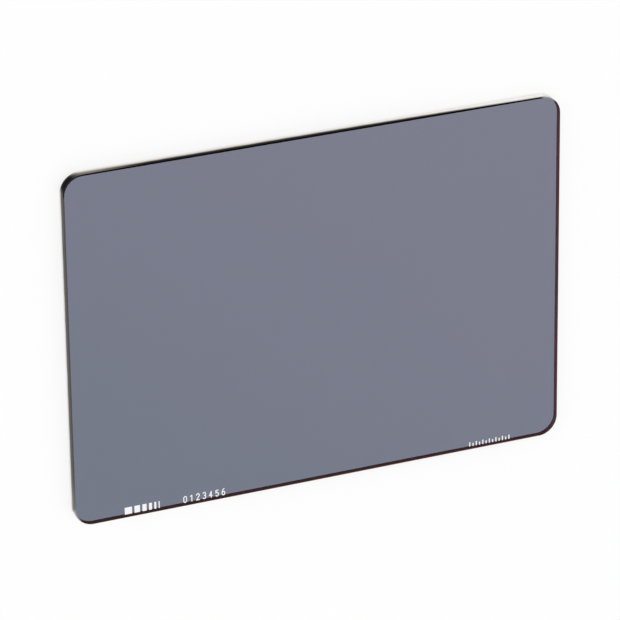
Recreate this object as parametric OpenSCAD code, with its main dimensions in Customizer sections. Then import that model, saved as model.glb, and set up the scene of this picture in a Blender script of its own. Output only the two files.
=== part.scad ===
// Rectangular neutral density filter for a matte box.
// One plate of optical glass. It lies flat on its rear face, with the printed face up.
// +X runs along the long side, +Y along the short side and +Z out of the printed face.

/* [Plate] */
// Length of the long side, edge to edge
plate_length = 143.5; // [120:0.5:180]
// Length of the short side, edge to edge
plate_height = 101.6; // [80:0.1:130]
// Thickness of the glass, face to face
plate_thickness = 3; // [2:0.1:5]

/* [Ground edge] */
// Radius of the four rounded corners
corner_radius = 5.5; // [2:0.1:12]
// Width of the 45 degree bevel round the printed face
front_bevel = 0.3; // [0.1:0.05:0.8]
// Width of the 45 degree bevel round the rear face
rear_bevel = 0.3; // [0.1:0.05:0.8]

/* [Hidden] */
// Segments of a full turn; every corner is a true cylinder with a true cone above and below it
$fn = 96;
// Centres of the corner arcs, measured from the middle of the plate
corner_x = plate_length / 2 - corner_radius;
corner_y = plate_height / 2 - corner_radius;

// Section from the middle of the plate out to its ground edge.
// reach is the distance from the middle, or from a corner's centre, to the upright wall.
function half_section(reach) = [
    [0, 0],
    [reach - rear_bevel, 0],
    [reach, rear_bevel],
    [reach, plate_thickness - front_bevel],
    [reach - front_bevel, plate_thickness],
    [0, plate_thickness]
];

// Straight run of plate along Y, with the ground edge on both of its long sides
module straight_run(width, length) {
    rotate([90, 0, 0])
        linear_extrude(length, center = true)
            for (side = [0, 1])
                mirror([side, 0])
                    polygon(half_section(width / 2));
}

// Round corner, turned from the same section so that wall and bevels meet the straight runs
module corner() {
    rotate_extrude()
        polygon(half_section(corner_radius));
}

// The whole plate: two runs that cross, and a turned corner in each gap between them
module filter_plate() {
    color("slategray")
        union() {
            straight_run(plate_length, 2 * corner_y);
            rotate([0, 0, 90])
                straight_run(plate_height, 2 * corner_x);
            for (x = [-corner_x, corner_x], y = [-corner_y, corner_y])
                translate([x, y, 0])
                    corner();
        }
}

filter_plate();
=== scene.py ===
# %% [markdown]
# A dark glass filter, built up the way light meets it
# A neutral density filter is a plate of dark glass that slides in front of a cine lens.
# It has no moving part and hardly any shape: a flat plate, four rounded corners and a ground edge.
# Nearly all of its looks come from how light goes in and out of it, so the lesson follows the light.
# First comes the clear glass, then the mirror film inside it, then the edge, then the white print.
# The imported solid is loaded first, and every piece is made in its frame, in metres.

# %% Load the frame
import math
import bpy
import numpy as np
from mathutils import Matrix, Vector


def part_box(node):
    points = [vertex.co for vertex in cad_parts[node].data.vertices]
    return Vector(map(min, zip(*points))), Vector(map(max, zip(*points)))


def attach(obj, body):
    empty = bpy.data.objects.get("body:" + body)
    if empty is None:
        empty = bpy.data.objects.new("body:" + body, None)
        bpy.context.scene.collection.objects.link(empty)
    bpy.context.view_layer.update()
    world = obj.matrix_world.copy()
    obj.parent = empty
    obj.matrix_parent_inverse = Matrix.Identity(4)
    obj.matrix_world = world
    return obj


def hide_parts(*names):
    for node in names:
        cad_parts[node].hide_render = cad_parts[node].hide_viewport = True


MM = 0.001
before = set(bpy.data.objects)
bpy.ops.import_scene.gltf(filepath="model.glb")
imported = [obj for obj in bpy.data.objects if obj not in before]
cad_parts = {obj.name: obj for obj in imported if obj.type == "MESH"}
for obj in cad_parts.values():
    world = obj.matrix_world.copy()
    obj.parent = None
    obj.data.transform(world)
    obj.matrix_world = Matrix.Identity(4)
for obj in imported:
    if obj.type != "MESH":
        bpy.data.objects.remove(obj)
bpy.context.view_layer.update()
low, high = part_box("filter_plate")
LENGTH, HEIGHT, THICKNESS = high - low
print("plate", [round(side / MM, 2) for side in (LENGTH, HEIGHT, THICKNESS)], "mm")

# %% [markdown]
# Camera
# The plate lies flat, as it would come to rest, and the camera looks down on it.
# In the photograph the long side runs across the picture, so the camera is rolled until it does here.
# The lens is long, because the far end of the plate is hardly smaller than the near end.
# The place was found by fitting the four straight sides of the plate to their lines in the picture,
# which is more exact than turning the camera by eye. Then it was moved by about a fifth of a pixel, to
# where the render and the photograph differ least along the outline.

# %% Camera
AIM = Vector((-2.628, 0.575, 2.973)) * MM
LOOK = Vector((0.35121, -0.40792, -0.84277)).normalized()
PICTURE_UP = Vector((0.16913, 0.91294, -0.37140))
DISTANCE = 1.2115
LENS_MM = 261.15
SENSOR_MM = 36
NEAREST_SEEN = 0.05

sideways = LOOK.cross(PICTURE_UP).normalized()
axes = Matrix((sideways, sideways.cross(LOOK), -LOOK)).transposed().to_4x4()
camera_data = bpy.data.cameras.new("camera")
camera_data.sensor_width = SENSOR_MM
camera_data.lens = LENS_MM
camera_data.clip_start = NEAREST_SEEN
camera = bpy.data.objects.new("camera", camera_data)
camera.matrix_world = Matrix.Translation(AIM - LOOK * DISTANCE) @ axes
scene = bpy.context.scene
scene.collection.objects.link(camera)
scene.camera = camera
print("camera looks down at", round(math.degrees(math.asin(-LOOK.z)), 1), "degrees")

# %% [markdown]
# Light
# Dark glass shows what stands round it far more than what shines on it.
# The photograph was taken with white all round, so the world is plain white at strength 1.
# A colour then renders as it is written, and the film has something even to reflect.
# A lamp would put a bright patch into the face, and the photograph has none.

# %% World
WORLD_WHITE = (1, 1, 1, 1)
WORLD_STRENGTH = 1.0

scene.view_settings.view_transform = "Standard"
world = bpy.data.worlds.new("white_tent")
world.use_nodes = True
sky = world.node_tree.nodes["Background"]
sky.inputs["Color"].default_value = WORLD_WHITE
sky.inputs["Strength"].default_value = WORLD_STRENGTH
scene.world = world
print("world", world.name, "at strength", sky.inputs["Strength"].default_value)

# %% [markdown]
# A few tools for finishes
# Every finish of the plate is one Principled shader with a pattern in front of it.
# The patterns are made of the same few steps: where am I on the plate, how far along am I between two
# places, and which colour belongs there. Each step gets a small function, so that a finish reads as a
# recipe. Each ramp runs between two named places, and the places are measured on the plate.

# %% Start a finish
def start_finish(name):
    """A new material; returns it with its node tree and its Principled shader."""
    material = bpy.data.materials.new(name)
    material.use_nodes = True
    return material, material.node_tree, material.node_tree.nodes["Principled BSDF"]


def settle(shader, **values):
    """Writes plain values on the shader's own sockets; an underscore stands for a space."""
    for name, value in values.items():
        shader.inputs[name.replace("_", " ")].default_value = value


def feed(tree, socket, value):
    """Links a socket to another one, or writes a plain value into it."""
    if isinstance(value, bpy.types.NodeSocket):
        tree.links.new(value, socket)
    else:
        socket.default_value = value


def tell(material):
    """Prints how long a finish's recipe has become."""
    print(material.name, "has", len(material.node_tree.nodes), "nodes")


# %% Arithmetic, ramps and blends
def maths(tree, operation, first, second=0.0):
    """One Math node; the inputs are numbers or sockets."""
    node = tree.nodes.new("ShaderNodeMath")
    node.operation = operation
    feed(tree, node.inputs[0], first)
    feed(tree, node.inputs[1], second)
    return node.outputs[0]


def ramp(tree, value, start, end, shape="SMOOTHSTEP"):
    """0 where the value is at start, 1 where it is at end, and a step of the given shape in between."""
    node = tree.nodes.new("ShaderNodeMapRange")
    node.interpolation_type = shape
    feed(tree, node.inputs["Value"], value)
    node.inputs["From Min"].default_value = start
    node.inputs["From Max"].default_value = end
    return node.outputs["Result"]


def blend(tree, factor, first, second):
    """Goes from the first colour to the second as the factor goes from 0 to 1."""
    node = tree.nodes.new("ShaderNodeMix")
    node.data_type = "RGBA"
    feed(tree, node.inputs["Factor"], factor)
    for socket, colour in zip(node.inputs[6:8], (first, second)):
        feed(tree, socket, colour if isinstance(colour, bpy.types.NodeSocket) else (*colour, 1))
    return node.outputs[2]


# %% Places and grain
NOISE_MIDDLE = 0.5


def place_on(tree):
    """The object's own coordinates: sockets for x, y and z in metres."""
    where = tree.nodes.new("ShaderNodeTexCoord")
    split = tree.nodes.new("ShaderNodeSeparateXYZ")
    tree.links.new(where.outputs["Object"], split.inputs[0])
    return split.outputs


def grain(tree, size, stretch=(1, 1, 1), detail=2.0):
    """Noise from 0 to 1 with lumps of about the given size; stretch makes them longer along an axis."""
    where = tree.nodes.new("ShaderNodeTexCoord")
    mapping = tree.nodes.new("ShaderNodeMapping")
    noise = tree.nodes.new("ShaderNodeTexNoise")
    mapping.inputs["Scale"].default_value = [1 / along for along in stretch]
    noise.inputs["Scale"].default_value = 1 / size
    noise.inputs["Detail"].default_value = detail
    tree.links.new(where.outputs["Object"], mapping.inputs["Vector"])
    tree.links.new(mapping.outputs[0], noise.inputs["Vector"])
    return noise.outputs[0]


def relief(tree, shader, height, depth):
    """Bumps the surface by a pattern; depth is how far the pattern's whole range stands out."""
    bump = tree.nodes.new("ShaderNodeBump")
    bump.inputs["Distance"].default_value = depth
    tree.links.new(height, bump.inputs["Height"])
    tree.links.new(bump.outputs[0], shader.inputs["Normal"])


# %% [markdown]
# One outline for everything
# The plate, its film and its edge all follow the same rounded rectangle, each a little further in.
# A rounded rectangle could be drawn corner by corner for each of them. It is simpler to keep, for every
# point, the centre that it turns about and the direction in which it looks out. A loop at any distance
# from the edge is then one line of arithmetic, and the corners stay true arcs about the same centres.

# %% Rounded rectangle
CORNER_RADIUS = 5.5 * MM
ARC_STEPS = 24


def rounded_rectangle(long_side, short_side, radius, steps):
    """Centres and outward normals of the points round a rectangle, anticlockwise.
    Each corner turns its normal by a quarter about its own centre. The straight sides need no points
    of their own, because the last normal of one corner is the first normal of the next."""
    quarter = np.linspace(0, math.pi / 2, steps + 1)
    angle = np.concatenate([quarter + turn * math.pi / 2 for turn in range(4)])
    signs = np.array([(1, 1), (-1, 1), (-1, -1), (1, -1)])
    centres = signs * (long_side / 2 - radius, short_side / 2 - radius)
    return np.repeat(centres, steps + 1, axis=0), np.stack([np.cos(angle), np.sin(angle)], axis=1)


PLATE_LOOP = rounded_rectangle(LENGTH, HEIGHT, CORNER_RADIUS, ARC_STEPS)
print("outline of", len(PLATE_LOOP[0]), "points")

# %% Carry a profile round a loop
def carry(profile, loop, radius, at=(0.0, 0.0)):
    """Grid of points. Profile point (inset, z) gives one loop: centre + normal x (radius - inset), at z."""
    centres, normals = loop
    inset, z = np.asarray(profile).T
    flat = centres[None] + at + normals[None] * (radius - inset)[:, None, None]
    level = np.broadcast_to(z[:, None, None], flat.shape[:2] + (1,))
    return np.concatenate([flat, level], axis=2)


def skin(grid, ring=False):
    """Faces of a grid whose columns close into a loop. Rows join their neighbours; the first and the
    last row get a flat cap, or are joined to each other where the piece is a ring."""
    rows, columns = grid.shape[:2]
    row = np.arange(rows if ring else rows - 1)[:, None]
    column = np.arange(columns)[None]
    after = (column + 1) % columns
    above = (row + 1) % rows * columns
    row = row * columns
    corners = np.broadcast_arrays(row + column, row + after, above + after, above + column)
    faces = np.stack(corners, axis=-1).reshape(-1, 4).tolist()
    if not ring:
        faces.append(list(range(columns))[::-1])
        faces.append(list(range((rows - 1) * columns, rows * columns)))
    return faces


# %% Put a piece together
def make_piece(name, parts, materials, slot):
    """One mesh object at the origin from a list of (grid, faces), riding on the plate's body."""
    points, faces = [], []
    for grid, quads in parts:
        start = sum(len(block) for block in points)
        points.append(grid.reshape(-1, 3))
        faces += [[start + corner for corner in face] for face in quads]
    mesh = bpy.data.meshes.new(name)
    mesh.from_pydata(np.concatenate(points), [], faces)
    mesh.update()
    for material in materials:
        mesh.materials.append(material)
    piece = bpy.data.objects.new(name, mesh)
    scene.collection.objects.link(piece)
    if slot:
        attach(piece, "root")
    print(name, "has", len(mesh.polygons), "faces")
    return piece


def upward(piece):
    """For each face, how far it looks up: the z of its normal, from -1 to 1."""
    normals = np.empty(len(piece.data.polygons) * 3, dtype=np.float32)
    piece.data.polygons.foreach_get("normal", normals)
    return normals.reshape(-1, 3)[:, 2]


def share_out(piece, slots):
    """Gives each face the material of its number in slots, and prints how many faces each one has."""
    piece.data.polygons.foreach_set("material_index", slots.astype(np.int32))
    print("faces of each finish:", np.bincount(slots).tolist())


# %% [markdown]
# The ground edge in section
# This is the form that takes the most skill on the real plate, and the only one that it has.
# After the blank is cut, its wall is ground upright, and a bevel of 45 degrees is ground on both rims.
# A knife-sharp rim between bevel and wall would look drawn, so each of the four turns is broken by a
# tiny arc, which catches a thread of light as a real ground edge does.
# The print stands on the front face and may not rise out of the solid's box, so the glass ends just below.

# %% Edge profile
BEVEL = 0.3 * MM
BROKEN_EDGE = 0.05 * MM
BREAK_STEPS = 4
SHARPEST = 0.002 * MM
PRINT_HEIGHT = 0.008 * MM
GLASS_TOP = THICKNESS - PRINT_HEIGHT
HALF_KNEE = math.pi / 8


def edge_profile(inward):
    """Points (inset, z) from the rear flat, up the bevel, wall and bevel, to the front flat.
    Moving the section inward lengthens each bevel's reach by inward x tan(22.5 degrees). Each turn is an
    arc about a centre that lies radius / cos(22.5 degrees) from the sharp knee that it replaces."""
    reach = BEVEL + inward * math.tan(HALF_KNEE)
    knees = [(reach, inward), (inward, reach), (inward, GLASS_TOP - reach), (reach, GLASS_TOP - inward)]
    start = np.radians([-90, -45, 0, 45])
    angle = start[:, None] + np.radians(np.linspace(0, 45, BREAK_STEPS + 1))
    halfway = start + HALF_KNEE
    radius = max(BROKEN_EDGE - inward, SHARPEST)
    arm = radius / math.cos(HALF_KNEE)
    centre = np.array(knees) + arm * np.stack([np.cos(halfway), -np.sin(halfway)], axis=1)
    inset = centre[:, :1] - radius * np.cos(angle)
    z = centre[:, 1:] + radius * np.sin(angle)
    return np.stack([inset.ravel(), z.ravel()], axis=1)


print("edge section of", len(edge_profile(0)), "points")

# %% [markdown]
# Finish: coated glass
# The real plate is optical glass, polished flat, with a coating that takes most of the reflection away.
# Painted plastic would do for the face alone, but then the edges would lie: through clear glass the eye
# sees the inside of the far edges as dark bands, bent closer by refraction. So this is real glass:
# full transmission, the index of crown glass, and a low specular tint for the coating.
# The grey of the plate sits in the glass colour, so that a simple viewer without refraction shows it too.
# The faint haze left by the last wipe is the only thing that the polish doesn't hide.

# %% Coated glass
GLASS_GREY = (0.205, 0.217, 0.276, 1)
CROWN_GLASS_INDEX = 1.52
COATING = (0.30, 0.28, 0.34, 1)
WIPE_WIDTH = 18 * MM
HAZE = 0.02
HAZY_BETWEEN = (0.5, 0.8)

glass_finish, tree, shader = start_finish("coated_glass")
settle(shader, Base_Color=GLASS_GREY, Transmission_Weight=1.0, IOR=CROWN_GLASS_INDEX)
settle(shader, Specular_Tint=COATING)
wipes = grain(tree, WIPE_WIDTH, stretch=(3, 1, 1), detail=3.0)
haze = maths(tree, "MULTIPLY", ramp(tree, wipes, *HAZY_BETWEEN), HAZE)
tree.links.new(haze, shader.inputs["Roughness"])
tell(glass_finish)

# %% [markdown]
# Finish: the wall of the edge
# The wall is ground glass. Its front half, ahead of the film, is blackened with varnish, so that no stray
# light gets in at the side, and its rear half shows as a pale ground band, whose near-white is partly
# painted light from behind.
# In the photograph the two differ from place to place: the band is cream on the long sides and greyer on
# the short ones, and towards one end of each long side it climbs to the front rim and gets whiter, which
# is painted light from behind. On the short sides the front half is grey, a painted reflection on the
# black varnish, and it gets paler towards one pair of opposite corners. That pair is pale, painted light,
# and the other pair is black, a painted dark reflection. Nothing of this is shape, so it is all in one
# pattern, built from where a point lies: how high, how far along, and on which diagonal. Half a turn of
# the plate brings the pattern onto itself.

# %% Wall: how high and how far along
WAVE_SIZE = 4 * MM
WAVE_HEIGHT = 0.3 * MM
CLIMB = 1.3 * MM
CLIMB_ALONG = (-5 * MM, 66 * MM)
NEAR_END = (-47 * MM, -65 * MM)
LONG_SIDE = (HEIGHT / 2 - 4.3 * MM, HEIGHT / 2 - 1.3 * MM)

wall_finish, tree, shader = start_finish("ground_wall")
x, y, z = place_on(tree)
waver = maths(tree, "MULTIPLY", maths(tree, "SUBTRACT", grain(tree, WAVE_SIZE), NOISE_MIDDLE), WAVE_HEIGHT)
level = maths(tree, "ADD", z, waver)
along = maths(tree, "MULTIPLY", x, maths(tree, "SIGN", y))
# Towards the far end of each long side the pale band climbs to the front rim: painted light from behind.
far_end = maths(tree, "POWER", ramp(tree, along, *CLIMB_ALONG, "LINEAR"), 2.0)
climbing = maths(tree, "SUBTRACT", level, maths(tree, "MULTIPLY", far_end, CLIMB))
near_end = ramp(tree, along, *NEAR_END)
long_side = ramp(tree, maths(tree, "ABSOLUTE", y), *LONG_SIDE)
tell(wall_finish)

# %% Wall: bands of the long and the short sides
CREAM = (0.90, 0.85, 0.79)
WHITE_CREAM = (0.98, 0.94, 0.90)
PALE_GREY = (0.97, 0.95, 0.93)
VARNISH = (0.015, 0.013, 0.011)
# The front of the short sides: black varnish with a painted reflection on it, paler near the pale corners.
VARNISH_AND_REFLECTION = (0.13, 0.122, 0.117)
VARNISH_AND_PALER_REFLECTION = (0.24, 0.222, 0.21)
END_GREY = (0.21, 0.19, 0.165)
WHITER_ALONG = (-20 * MM, 15 * MM)
MIDDLE_BAND = (2.0 * MM, 0.55 * MM)
END_BAND = (1.9 * MM, 0.2 * MM)
SHORT_BAND = (1.7 * MM, 0.3 * MM)
PALER_REFLECTION_ALONG = (34 * MM, 46 * MM)

# Pale ground glass, made near-white with painted light from behind, whiter towards the far end.
cream = blend(tree, ramp(tree, along, *WHITER_ALONG), CREAM, WHITE_CREAM)
middle_band = blend(tree, ramp(tree, climbing, *MIDDLE_BAND), VARNISH, cream)
# Towards the near end of each long side the front half is grey instead of black.
end_band = blend(tree, ramp(tree, level, *END_BAND), END_GREY, cream)
long_band = blend(tree, near_end, middle_band, end_band)
# Painted reflection on the short sides' varnish, paler towards the pale corners.
paler_reflection = ramp(tree, maths(tree, "MULTIPLY", y, maths(tree, "SIGN", x)), *PALER_REFLECTION_ALONG)
short_front = blend(tree, paler_reflection, VARNISH_AND_REFLECTION, VARNISH_AND_PALER_REFLECTION)
short_band = blend(tree, ramp(tree, level, *SHORT_BAND), short_front, PALE_GREY)
tone = blend(tree, long_side, short_band, long_band)
tell(wall_finish)

# %% Wall: the two pairs of corners
# The pale pair of corners is painted light; the black pair is a painted dark reflection, lighter at the
# rear.
CORNER_PALE = (0.85, 0.82, 0.80)
CORNER_BLACK = (0.006, 0.006, 0.004)
CORNER_REAR_DARK_REFLECTION = (0.035, 0.033, 0.030)
ARC_START = (LENGTH + HEIGHT) / 2 - CORNER_RADIUS
PALE_CORNER = (ARC_START + 0.35 * MM, ARC_START + 1.55 * MM)
BLACK_CORNER = (ARC_START + 0.15 * MM, ARC_START + 1.85 * MM)
BLACK_ALONG = (LENGTH / 2 - 5.75 * MM, LENGTH / 2 - 2.35 * MM)
BLACK_BAND = (1.6 * MM, 0.3 * MM)

sum_xy = maths(tree, "ABSOLUTE", maths(tree, "ADD", x, y))
difference_xy = maths(tree, "ABSOLUTE", maths(tree, "SUBTRACT", x, y))
pale_pair = ramp(tree, sum_xy, *PALE_CORNER)
black_pair = maths(tree, "MINIMUM", ramp(tree, difference_xy, *BLACK_CORNER),
                   ramp(tree, maths(tree, "ABSOLUTE", x), *BLACK_ALONG))
black = blend(tree, ramp(tree, level, *BLACK_BAND), CORNER_BLACK, CORNER_REAR_DARK_REFLECTION)
# Painted light at the pale corners, then painted dark reflection at the black ones.
tone = blend(tree, pale_pair, tone, CORNER_PALE)
tone = blend(tree, black_pair, tone, black)
print("a corner's arc starts where x + y or x - y is", round(ARC_START / MM, 2), "mm")

# %% Wall: grinding marks and gloss
GRIT_SIZE = 0.12 * MM
SCRATCH_WIDTH = 0.05 * MM
MARK_DEPTH = 0.006 * MM
GROUND_IN = (0.86, 0.85, 0.84)
UNMARKED = (1.0, 1.0, 1.0)
WALL_GLOSS = 0.05
GROUND_BETWEEN = (0.36, 0.6)
WALL_ROUGHENS = (1.2, 0.2)

grit = grain(tree, GRIT_SIZE, detail=3.0)
scratches = grain(tree, SCRATCH_WIDTH, stretch=(60, 60, 1), detail=1.0)
marks = maths(tree, "MULTIPLY", maths(tree, "ADD", grit, scratches), 0.5)
shade = blend(tree, ramp(tree, marks, *GROUND_BETWEEN), GROUND_IN, UNMARKED)
mottled = tree.nodes.new("ShaderNodeMix")
mottled.data_type = "RGBA"
mottled.blend_type = "MULTIPLY"
mottled.inputs["Factor"].default_value = 1.0
tree.links.new(tone, mottled.inputs[6])
tree.links.new(shade, mottled.inputs[7])
tree.links.new(mottled.outputs[2], shader.inputs["Base Color"])
tree.links.new(ramp(tree, marks, *WALL_ROUGHENS), shader.inputs["Roughness"])
relief(tree, shader, marks, MARK_DEPTH)
settle(shader, IOR=CROWN_GLASS_INDEX, Specular_IOR_Level=WALL_GLOSS)
tell(wall_finish)

# %% [markdown]
# Finish: the bevels
# The bevels are too narrow for a band, so each has one tone, and the tone is what one sees of it as a
# thin line round the face: nearly black along the top side, grey at the left and paler there towards the
# bottom, brown at the right, and along the bottom side a line that reddens towards the right. The tones
# of the top, left and right sides are painted reflection and painted shade. A pale corner changes tone at
# its middle, where the bevel turns away from the eye: a painted highlight on the half that faces the eye,
# painted shade on the other. The other pair of corners is a painted dark reflection.

# %% Bevels: tones of the sides
# Top, left and right tones are painted reflection and painted shade; the bottom line reddens to the right.
BEVEL_GREY = (0.085, 0.082, 0.085)
BEVEL_PALE = (0.145, 0.138, 0.142)
BEVEL_BROWN = (0.045, 0.020, 0.014)
BEVEL_BLACK = (0.002, 0.001, 0.001)
BOTTOM_LINE_LEFT = (0.045, 0.018, 0.016)
BOTTOM_LINE_RIGHT = (0.31, 0.175, 0.165)
RIGHTWARD = (-60 * MM, 66 * MM)
PALE_DOWNWARD = (-34 * MM, -46 * MM)
TOP_SIDE = (HEIGHT / 2 - 5.5 * MM, HEIGHT / 2 - 3.8 * MM)
BOTTOM_SIDE = (2.3 * MM - HEIGHT / 2, 0.6 * MM - HEIGHT / 2)

bevel_finish, tree, shader = start_finish("ground_bevel")
x, y, z = place_on(tree)
# Painted reflection and painted shade by side; along the bottom a line that reddens towards the right.
rightward = ramp(tree, x, *RIGHTWARD)
grey = blend(tree, ramp(tree, y, *PALE_DOWNWARD), BEVEL_GREY, BEVEL_PALE)
bottom_line = blend(tree, rightward, BOTTOM_LINE_LEFT, BOTTOM_LINE_RIGHT)
tone = blend(tree, rightward, grey, BEVEL_BROWN)
tone = blend(tree, ramp(tree, y, *BOTTOM_SIDE), tone, bottom_line)
tone = blend(tree, ramp(tree, y, *TOP_SIDE), tone, BEVEL_BLACK)
tell(bevel_finish)

# %% Bevels: tones of the corners, and gloss
# Pale corners: a painted highlight where they face the eye, painted shade where they turn away.
CORNER_DARK = (0.02, 0.018, 0.018)
CORNER_HIGHLIGHT = (0.32, 0.30, 0.305)
CORNER_SHADE = (0.02, 0.016, 0.016)
DARK_CORNER = (ARC_START - 1.05 * MM, ARC_START + 0.35 * MM)
LIGHT_CORNER = (ARC_START - 0.65 * MM, ARC_START + 0.55 * MM)
CORNER_MIDDLE = (LENGTH - HEIGHT) / 2
TURNS_WITHIN = 1 * MM
BEVEL_GRIT = 0.1 * MM
BEVEL_DEPTH = 0.004 * MM
BEVEL_GLOSS = 0.02
BEVEL_ROUGHENS = (1.1, 0.0)

difference_xy = maths(tree, "SUBTRACT", x, y)
dark_pair = ramp(tree, maths(tree, "ABSOLUTE", difference_xy), *DARK_CORNER)
light_pair = ramp(tree, maths(tree, "ABSOLUTE", maths(tree, "ADD", x, y)), *LIGHT_CORNER)
middle = maths(tree, "MULTIPLY", maths(tree, "SIGN", x), CORNER_MIDDLE)
from_middle = maths(tree, "SUBTRACT", difference_xy, middle)
turned_away = ramp(tree, from_middle, -TURNS_WITHIN, TURNS_WITHIN)
# The dark pair is a painted dark reflection; the light pair gets the painted highlight and shade.
tone = blend(tree, dark_pair, tone, CORNER_DARK)
tone = blend(tree, light_pair, tone, blend(tree, turned_away, CORNER_HIGHLIGHT, CORNER_SHADE))
tree.links.new(tone, shader.inputs["Base Color"])
grit = grain(tree, BEVEL_GRIT, detail=3.0)
tree.links.new(ramp(tree, grit, *BEVEL_ROUGHENS), shader.inputs["Roughness"])
relief(tree, shader, grit, BEVEL_DEPTH)
settle(shader, IOR=CROWN_GLASS_INDEX, Specular_IOR_Level=BEVEL_GLOSS)
tell(bevel_finish)

# %% [markdown]
# Piece: the plate
# One closed skin, from the rear flat round the edge to the front flat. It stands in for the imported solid
# and keeps its form. Both flats are glass; the wall and the bevels are opaque, because varnish covers
# them. The finish is told apart by the way a face looks: sideways it is wall, and in between it is bevel.
# The two flats are the last two faces of the skin.

# %% Plate
plate_grid = carry(edge_profile(0), PLATE_LOOP, CORNER_RADIUS)
plate = make_piece("filter_glass", [(plate_grid, skin(plate_grid))],
                   [glass_finish, wall_finish, bevel_finish], "filter_glass")
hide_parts("filter_plate")

GLASS_SLOT, WALL_SLOT, BEVEL_SLOT = 0, 1, 2
SIDEWAYS_BELOW = 0.4
finish = np.where(np.abs(upward(plate)) < SIDEWAYS_BELOW, WALL_SLOT, BEVEL_SLOT)
finish[-2:] = GLASS_SLOT
share_out(plate, finish)

# %% [markdown]
# A map for the bake
# A viewer outside Blender knows no patterns, so the export bakes them into one square picture per piece.
# Laid out by rule of thumb, the bevel gets two pixels of it and comes out ragged. This map unrolls the
# edge like a tape instead: four strips, each a corner with the straight side after it, stretched across
# so that even the bevel is many pixels wide. The two plain flats share what is left.

# %% Unroll the edge
BAKE_MAP = "OFBake"
STRIPS = 4
STRIPS_FROM = 0.5
MARGIN = 0.01
REAR_PLACE = (0.25, 0.25)
FRONT_PLACE = (0.75, 0.25)


def unroll(piece, grid, ring=False):
    """Fills the bake map. Along a strip runs the distance round the loop, and across it the distance
    over the profile, both scaled to the strip. Below them each flat is drawn true to shape."""
    tape = np.concatenate([grid, grid[:1]]) if ring else grid
    rows, columns = tape.shape[:2]
    step = np.linalg.norm(np.roll(tape[rows // 2], -1, axis=0) - tape[rows // 2], axis=1)
    step = step.reshape(STRIPS, -1)
    run = np.cumsum(step, axis=1)
    scale = (1 - 2 * MARGIN) / run.max()
    left, right = MARGIN + (run - step) * scale, MARGIN + run * scale
    climb = np.cumsum(np.linalg.norm(np.diff(tape[:, 0], axis=0), axis=1))
    climb = np.concatenate([[0], climb]) / climb[-1]
    strip = (1 - STRIPS_FROM) / STRIPS
    v = STRIPS_FROM + np.arange(STRIPS) * strip + MARGIN / 2 + climb[:, None] * (strip - MARGIN)
    v = np.repeat(v, columns // STRIPS, axis=1)
    u = np.stack([left.ravel(), right.ravel(), right.ravel(), left.ravel()], axis=-1)
    edge = np.stack([np.broadcast_to(u, (rows - 1, columns, 4)),
                     np.stack([v[:-1], v[:-1], v[1:], v[1:]], axis=-1)], axis=-1)
    corners = edge.reshape(-1, 2)
    if not ring:
        shrink = (STRIPS_FROM - MARGIN) / LENGTH
        rear = REAR_PLACE + grid[0, ::-1, :2] * shrink
        front = FRONT_PLACE + grid[-1, :, :2] * shrink
        corners = np.concatenate([corners, rear, front])
    piece.data.uv_layers.new(name=BAKE_MAP).data.foreach_set("uv", corners.ravel())
    low_corner, high_corner = corners.min(axis=0).round(3), corners.max(axis=0).round(3)
    print("map of", len(corners), "corners, from", low_corner, "to", high_corner)


unroll(plate, plate_grid)

# %% [markdown]
# Piece: the varnish seen through the glass
# Inside the plate, the back of the varnish shows through the front face as a maroon band along the two
# far sides. Varnish clings to the glass with no air between, so it has no gloss of its own in there.
# The outer wall can't do both jobs, as it is glossy, so a thin lining just inside it takes this one.

# %% Lining
LINING_GAP = 0.01 * MM
LINING_THICKNESS = 0.02 * MM
MAROON = (0.56, 0.10, 0.08)
DARK_MAROON = (0.42, 0.07, 0.055)
PALE_MAROON = (0.88, 0.36, 0.32)
PATCH_SIZE = 2.5 * MM
PATCHY_BETWEEN = (0.35, 0.65)
SHORT_SIDE = (LENGTH / 2 - 3.75 * MM, LENGTH / 2 - 0.75 * MM)

lining_finish, tree, shader = start_finish("varnish_behind_glass")
patches = ramp(tree, grain(tree, PATCH_SIZE), *PATCHY_BETWEEN)
tone = blend(tree, patches, DARK_MAROON, MAROON)
short_side = ramp(tree, maths(tree, "ABSOLUTE", place_on(tree)[0]), *SHORT_SIDE)
# Paler maroon towards the short sides.
tone = blend(tree, short_side, tone, PALE_MAROON)
tree.links.new(tone, shader.inputs["Base Color"])
settle(shader, Roughness=0.9, Specular_IOR_Level=0.0)

outside = edge_profile(LINING_GAP)
inside = edge_profile(LINING_GAP + LINING_THICKNESS)[::-1]
lining_grid = carry(np.vstack([outside, inside]), PLATE_LOOP, CORNER_RADIUS)
lining = make_piece("varnish_lining", [(lining_grid, skin(lining_grid, ring=True))],
                    [lining_finish], "filter_glass")
unroll(lining, lining_grid, ring=True)

# %% [markdown]
# Piece: the mirror film
# The grey of such a filter isn't in the glass. It is a metal film, thin enough to let a little light
# through and to send much of it back, which is why the face looks like a dull mirror. The width of the
# maroon bands in the photograph puts the film about halfway through the plate.
# It is a closed sheet that stops just short of the edge. The face's faint drift from blue at the lower left
# to neutral at the upper right is a painted reflection in the film's colour, with faint random clouds in
# it.

# %% Film
FILM_INSET = 0.05 * MM
FILM_THICKNESS = 0.02 * MM
FILM_BLUE = (0.82, 0.855, 0.873)
FILM_NEUTRAL = (0.945, 0.922, 0.942)
DRIFT_X, DRIFT_Y = 70 * MM, 50 * MM
CLOUD_SIZE = 40 * MM
CLOUD_SHARE = 0.4
WHOLE_DRIFT = (-1.0, 1.0)

film_finish, tree, shader = start_finish("mirror_film")
x, y, z = place_on(tree)
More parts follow.
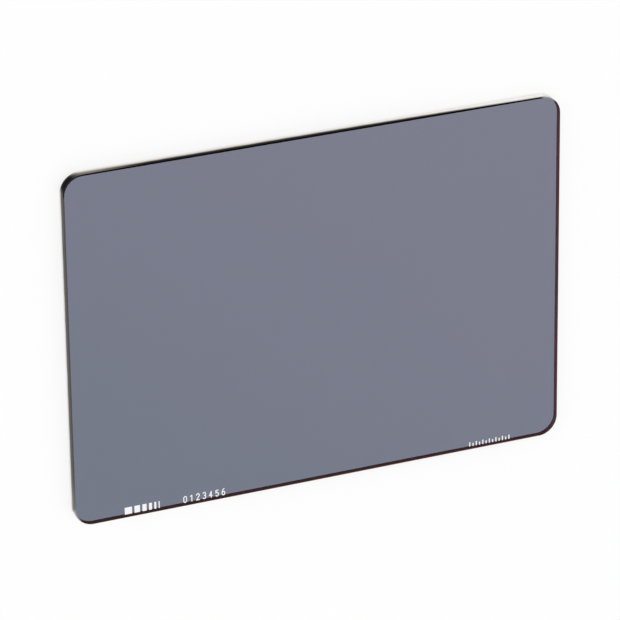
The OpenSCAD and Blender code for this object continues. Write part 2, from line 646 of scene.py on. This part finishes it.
# The drift is a painted reflection; the clouds in it are random tone of the metal.
across = maths(tree, "MULTIPLY", x, 0.5 / DRIFT_X)
up = maths(tree, "MULTIPLY", y, 0.5 / DRIFT_Y)
drift = maths(tree, "ADD", across, up)
cloud = maths(tree, "MULTIPLY", maths(tree, "SUBTRACT", grain(tree, CLOUD_SIZE), NOISE_MIDDLE), CLOUD_SHARE)
drift = ramp(tree, maths(tree, "ADD", drift, cloud), *WHOLE_DRIFT)
tree.links.new(blend(tree, drift, FILM_BLUE, FILM_NEUTRAL), shader.inputs["Base Color"])
settle(shader, Metallic=1.0, Roughness=0.0)

film_low = (THICKNESS - FILM_THICKNESS) / 2
film_side = [(FILM_INSET, film_low), (FILM_INSET, film_low + FILM_THICKNESS)]
film_grid = carry(film_side, PLATE_LOOP, CORNER_RADIUS)
film = make_piece("mirror_film", [(film_grid, skin(film_grid))], [film_finish], "filter_glass")
unroll(film, film_grid)

# %% [markdown]
# Finish and pieces: the white print
# Along the lower edge runs a little white print: a row of blocks that get narrower, a scale with the
# numbers 0 to 6, and a fine ruler. Screen-printed ink stands on the glass as a thin flat layer with
# sharp sides, and it is fired a little way into it.
# The film below would show the ink's shaded underside as a second, black print, and the photograph shows
# no such thing. So reflections and rays through the glass pass the ink by. The underside is bright metal
# as well, because an exported piece loses that setting: what the film sees there is mostly itself.
# A font would bring shapes that nobody chose here, so each numeral is made of a few pen strokes:
# a path of arcs and straight lines, and a flat ribbon of ink carried along it, rounded at both ends.

# %% Ink
INK_WHITE = (0.93, 0.93, 0.92)
INK_THIN = (0.80, 0.80, 0.81)
METAL_DULL = (0.94, 0.94, 0.94)
METAL_BRIGHT = (1.0, 1.0, 1.0)
PINHOLE_SIZE = 0.15 * MM
PINHOLE_DEPTH = 0.002 * MM
PINHOLE_RIM = (0.30, 0.45)


def ink_colour(tree, shader, in_pinhole, elsewhere):
    """Colours a finish of the ink by its pinholes, and returns their pattern."""
    pinholes = ramp(tree, grain(tree, PINHOLE_SIZE, detail=4.0), *PINHOLE_RIM)
    tree.links.new(blend(tree, pinholes, in_pinhole, elsewhere), shader.inputs["Base Color"])
    return pinholes


ink_finish, tree, shader = start_finish("screen_ink")
relief(tree, shader, ink_colour(tree, shader, INK_THIN, INK_WHITE), PINHOLE_DEPTH)
settle(shader, Roughness=0.5)
tell(ink_finish)

underside_finish, tree, shader = start_finish("ink_underside")
ink_colour(tree, shader, METAL_DULL, METAL_BRIGHT)
settle(shader, Metallic=1.0, Roughness=0.0)
tell(underside_finish)

# %% Ribbon of ink
INK_BITE = 0.01 * MM
INK_LOW, INK_HIGH = GLASS_TOP - INK_BITE, THICKNESS
STROKE_STEP = 0.0015 * MM
PRINT_BASELINE = 1.08 * MM - HEIGHT / 2
CAP_ANGLES = np.radians(np.linspace(8, 82, 6))
BOW_STEP = 12


def ribbon(path, half_width, thinner, closed=False):
    """Carries a flat bar of ink along a path: point +- left normal x half width, at its low and high level.
    An open path goes on for half a width at both ends, where the bar narrows as a half circle does:
    cos(angle) of the half width onward and sin(angle) of it to each side."""
    path = np.asarray(path, dtype=float)
    heading = np.roll(path, -1, axis=0) - np.roll(path, 1, axis=0)
    if not closed:
        heading = np.gradient(path, axis=0)
    heading /= np.linalg.norm(heading, axis=1)[:, None]
    width = np.full(len(path), half_width)
    if not closed:
        reach = half_width * np.cos(CAP_ANGLES)[:, None]
        taper = half_width * np.sin(CAP_ANGLES)
        path = np.vstack([path[0] - heading[0] * reach, path, path[-1] + heading[-1] * reach[::-1]])
        width = np.concatenate([taper, width, taper[::-1]])
        spare = len(CAP_ANGLES)
        heading = np.vstack([heading[:1].repeat(spare, 0), heading, heading[-1:].repeat(spare, 0)])
    left = np.stack([-heading[:, 1], heading[:, 0]], axis=1) * width[:, None]
    sides = np.stack([path + left, path - left, path - left, path + left], axis=1)
    top, bottom = INK_HIGH - thinner, INK_LOW + thinner
    levels = np.broadcast_to([[top], [top], [bottom], [bottom]], sides.shape[:2] + (1,))
    grid = np.concatenate([sides, levels], axis=2)
    return grid, skin(grid, ring=closed)


def bow(centre_x, centre_y, radius_x, radius_y, start, end):
    """Points on an ellipse from one angle to another, in degrees."""
    angle = np.radians(np.linspace(start, end, 2 + int(abs(end - start) / BOW_STEP)))
    return np.stack([centre_x + radius_x * np.cos(angle), centre_y + radius_y * np.sin(angle)], axis=1)


# %% Numerals as pen strokes
PEN = 0.14 * MM
WIDE, TALL = 0.80, 1.74
HALF = WIDE / 2
# Each stroke is a path, in millimetres from the numeral's lower left corner, and whether it closes.
STROKES = {
    "0": [(np.vstack([bow(HALF, TALL - HALF, HALF, HALF, 0, 180),
                      bow(HALF, HALF, HALF, HALF, 180, 360)]), True)],
    "1": [([(0.1, 1.5), (0.48, TALL)], False),
          ([(0.48, TALL), (0.48, 0)], False)],
    "2": [(np.vstack([bow(HALF, 1.40, HALF, 0.46, 170, -25), [(0, 0)]]), False),
          ([(0, 0), (WIDE, 0)], False)],
    "3": [(bow(HALF, 1.41, 0.38, 0.45, 150, -90), False),
          (bow(HALF, 0.48, HALF, 0.48, 90, -150), False)],
    "4": [([(0.56, TALL), (0, 0.55)], False),
          ([(0, 0.55), (WIDE, 0.55)], False),
          ([(0.56, TALL), (0.56, 0)], False)],
    "5": [([(0.72, TALL), (0.1, TALL)], False),
          ([(0.1, TALL), (0.04, 1.02)], False),
          (bow(HALF, 0.57, HALF, 0.57, 140, -145), False)],
    "6": [(bow(HALF, 0.52, HALF, 0.52, 0, 348), True),
          (bow(0.8, 0.52, 0.8, 1.34, 180, 105), False)],
}


def numeral(digit, x):
    """The ribbons of one numeral with its left side at x. Each stroke is a hair thinner than the one
    before, because where strokes cross, two flat tops in one plane would shade each other black."""
    corner = (x, PRINT_BASELINE + PEN)
    return [ribbon(np.asarray(path) * MM + corner, PEN, order * STROKE_STEP, closed)
            for order, (path, closed) in enumerate(STROKES[digit])]


LOOKS_DOWN_BELOW = -0.5


def make_print(name, parts):
    """A piece of ink whose lower faces wear the finish of the underside. Reflections and rays through
    the glass pass it by, so the film shows no second print."""
    piece = make_piece(name, parts, [ink_finish, underside_finish], "print_ink")
    share_out(piece, (upward(piece) < LOOKS_DOWN_BELOW).astype(int))
    piece.visible_glossy = False
    piece.visible_transmission = False


# %% Scale with numbers
SCALE_START = -40.4 * MM
SCALE_STEP = 1.86 * MM
scale_parts = []
for count, digit in enumerate(STROKES):
    scale_parts += numeral(digit, SCALE_START + count * SCALE_STEP)
make_print("print_scale", scale_parts)

# %% Blocks
BLOCK_ARC_STEPS = 3
BLOCKS_START = -57.5 * MM
BLOCK_HEIGHT = 2.05 * MM
BLOCK_GAP = 0.7 * MM
BLOCK_CORNER = 0.08 * MM


def block(left, width, height, radius):
    """A flat rectangle of ink with small round corners, standing on the line of the print."""
    loop = rounded_rectangle(width, height, radius, BLOCK_ARC_STEPS)
    middle = (left + width / 2, PRINT_BASELINE + height / 2)
    grid = carry([(0, INK_LOW), (0, INK_HIGH)], loop, radius, at=middle)
    return grid, skin(grid)


block_widths = np.array([2.1, 1.6, 1.2, 0.85, 0.55, 0.3]) * MM
block_lefts = BLOCKS_START + np.concatenate([[0], np.cumsum(block_widths + BLOCK_GAP)[:-1]])
block_parts = [block(left, width, BLOCK_HEIGHT, BLOCK_CORNER)
               for left, width in zip(block_lefts, block_widths)]
make_print("print_blocks", block_parts)

# %% Ruler
RULER_START = 44.7 * MM
RULER_STEP = 1.0 * MM
RULER_MARKS = 13
MARK_WIDTH = 0.34 * MM
LONG_MARK, SHORT_MARK = 1.3 * MM, 0.9 * MM
MARK_CORNER = 0.04 * MM

ruler_parts = [block(RULER_START + mark * RULER_STEP, MARK_WIDTH, SHORT_MARK if mark % 2 else LONG_MARK,
                     MARK_CORNER) for mark in range(RULER_MARKS)]
make_print("print_ruler", ruler_parts)

# %% [markdown]
# Floor
# White paper under white light is white all over, and only the plate's own soft shadow darkens it.
# In the photograph that shadow is burnt out. The paper therefore glows, to the eye, in reflections and
# through glass only, which thins the shadow without adding light to the plate. A little of it stays, so
# that the plate lies on something.

# %% Paper floor
FLOOR_SIDE = 3.0
PAPER_GLOW = 0.7
PAPER_WHITE = (0.98, 0.98, 0.98, 1)

floor_finish, tree, shader = start_finish("white_paper")
settle(shader, Base_Color=PAPER_WHITE, Roughness=0.9, Specular_IOR_Level=0.0)
ray = tree.nodes.new("ShaderNodeLightPath")
seen = maths(tree, "MAXIMUM", ray.outputs["Is Camera Ray"], ray.outputs["Is Glossy Ray"])
seen = maths(tree, "MAXIMUM", seen, ray.outputs["Is Transmission Ray"])
glow = tree.nodes.new("ShaderNodeEmission")
mixed = tree.nodes.new("ShaderNodeMixShader")
tree.links.new(maths(tree, "MULTIPLY", seen, PAPER_GLOW), mixed.inputs["Fac"])
tree.links.new(shader.outputs[0], mixed.inputs[1])
tree.links.new(glow.outputs[0], mixed.inputs[2])
tree.links.new(mixed.outputs[0], tree.nodes["Material Output"].inputs["Surface"])

half = FLOOR_SIDE / 2
floor_points = np.array([(-half, -half, 0), (half, -half, 0), (half, half, 0), (-half, half, 0)])
floor = make_piece("floor", [(floor_points, [(0, 1, 2, 3)])], [floor_finish], None)
tell(floor_finish)
